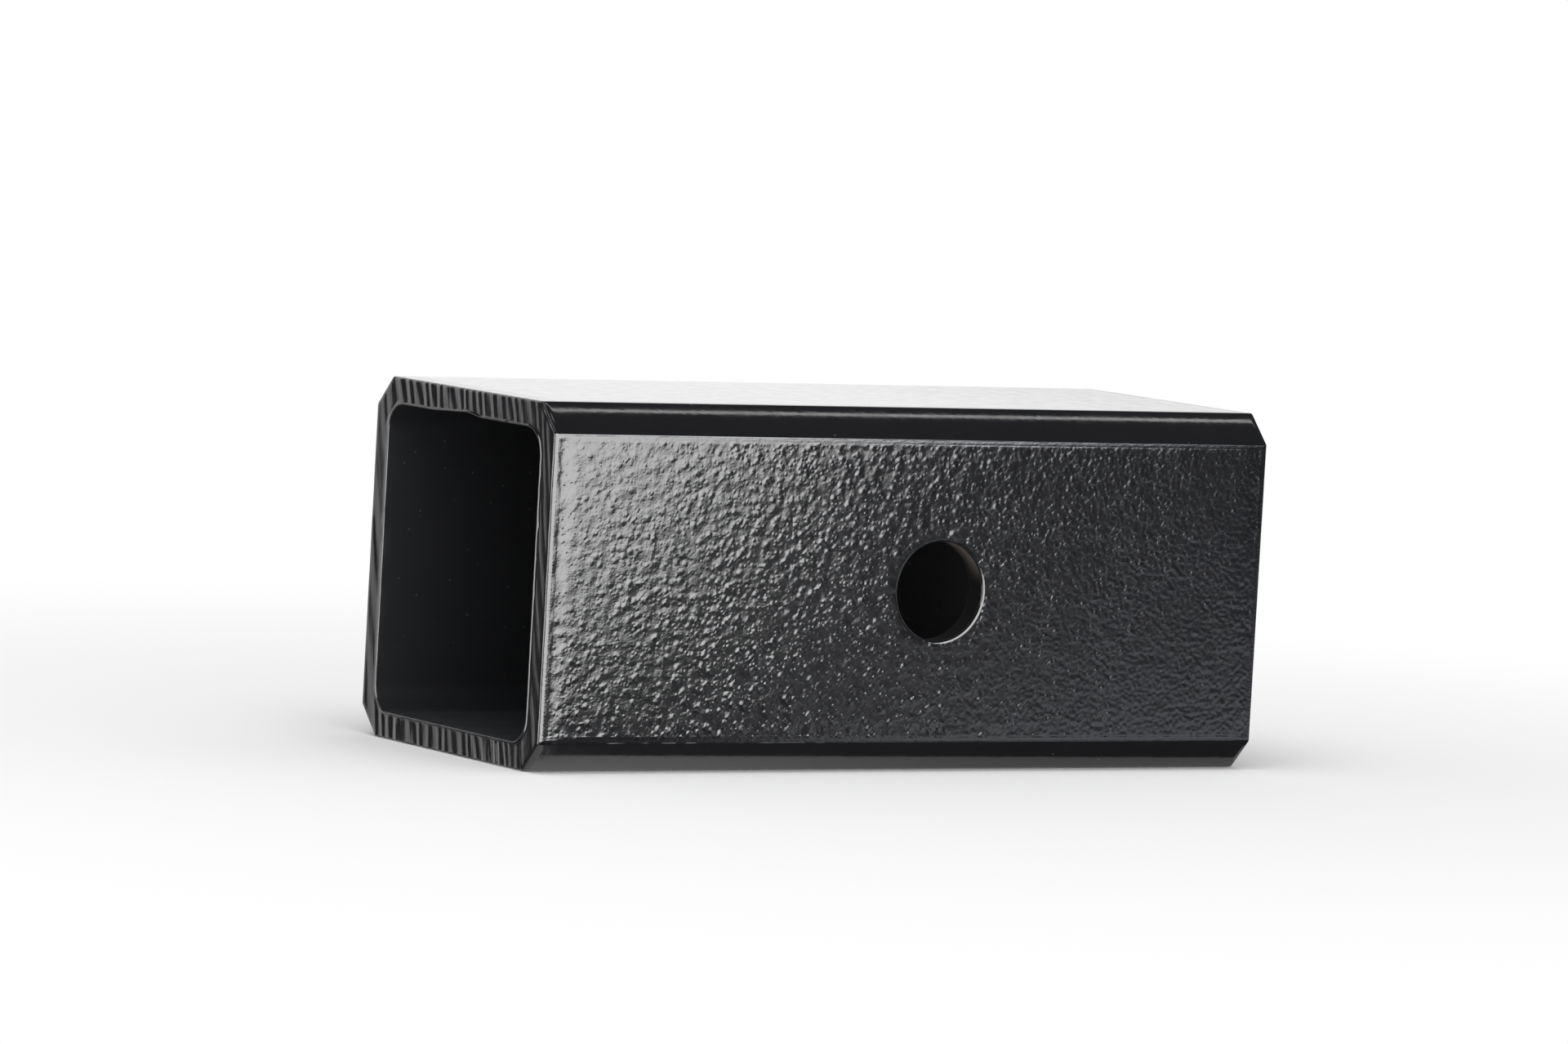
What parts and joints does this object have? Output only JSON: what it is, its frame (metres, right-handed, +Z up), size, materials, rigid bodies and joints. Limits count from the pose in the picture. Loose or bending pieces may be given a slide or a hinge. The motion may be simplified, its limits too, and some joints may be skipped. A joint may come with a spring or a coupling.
{
  "type": "hitch reducer sleeve",
  "caption": "Short black square steel tube with flats along its corners and a cross pin hole, lining a receiver so that a smaller shank fits it.",
  "frame": {"origin": "where the axis of the pin hole crosses the long axis of the tube", "axes": "+X runs along the tube towards the end nearer the pin hole, +Y runs along the pin hole, and +Z is up, through the wall that has the weld track inside"},
  "size_m": [0.146, 0.0636, 0.0636],
  "materials": {
    "coated_steel": "glossy black powder coat, pebbled on the flat sides and smooth on the corner flats and sawn ends"
  },
  "bodies": {
    "root": {"sleeve": "coated_steel"}
  },
  "joints": []
}
